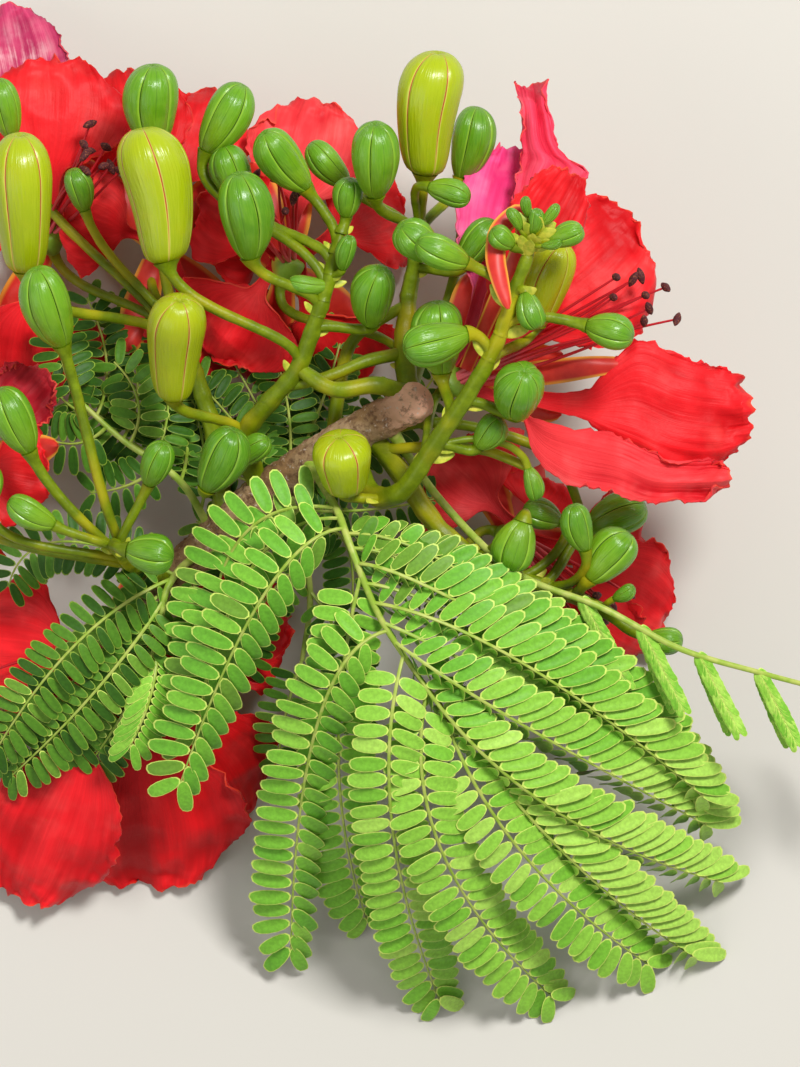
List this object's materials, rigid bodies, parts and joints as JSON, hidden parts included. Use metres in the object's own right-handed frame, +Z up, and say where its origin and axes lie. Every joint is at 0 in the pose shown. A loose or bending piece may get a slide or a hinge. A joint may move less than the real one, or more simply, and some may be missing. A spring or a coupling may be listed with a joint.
{
  "type": "flame tree flowering branch",
  "caption": "Cut flowering branch of a flame tree, with a woody twig, stalks of green and ripening buds, open red flowers and twice-cut feathery leaves.",
  "frame": {"origin": "on the ground, under the middle of the branch as it lies", "axes": "+X to the right and +Y to the top as one looks down on the branch, +Z up"},
  "size_m": [0.2496, 0.2552, 0.099],
  "materials": {
    "bark": "rough brown bark",
    "stalk": "smooth olive green stalk",
    "green_bud": "glossy green bud",
    "ripe_bud": "satin yellow-green bud with red seams",
    "petal": "thin crumpled red petal",
    "leaf": "soft green leaflet with a pale margin"
  },
  "bodies": {
    "root": {"twig": "bark", "stalks_centre": "stalk", "stalks_right": "stalk", "stalks_left": "stalk", "stalks_low": "stalk", "stalks_back": "stalk", "stalks_outer": "stalk", "bud_centre_1": "ripe_bud", "bud_centre_2": "green_bud", "bud_centre_3": "green_bud", "bud_centre_4": "green_bud", "bud_centre_5": "green_bud", "bud_centre_6": "green_bud", "bud_centre_7": "ripe_bud", "bud_centre_8": "green_bud", "bud_right_1": "green_bud", "bud_right_2": "green_bud", "bud_right_3": "green_bud", "bud_right_4": "green_bud", "bud_right_5": "ripe_bud", "bud_left_1": "green_bud", "bud_left_2": "green_bud", "bud_left_3": "green_bud", "bud_low_1": "green_bud", "bud_low_2": "green_bud", "bud_low_3": "green_bud", "bud_back_1": "green_bud", "bud_back_2": "ripe_bud", "bud_back_3": "green_bud", "bud_back_4": "green_bud", "bud_outer_1": "ripe_bud", "bud_outer_2": "green_bud", "leaf_main": "leaf", "leaf_left": "leaf", "leaf_back": "leaf", "leaf_small": "leaf", "leaf_young": "leaf", "flower_right": "petal", "flower_top_left": "petal", "flower_top": "petal", "flower_middle": "petal", "flower_lower_left": "petal", "flower_left": "petal", "flower_low_right": "petal"}
  },
  "joints": []
}
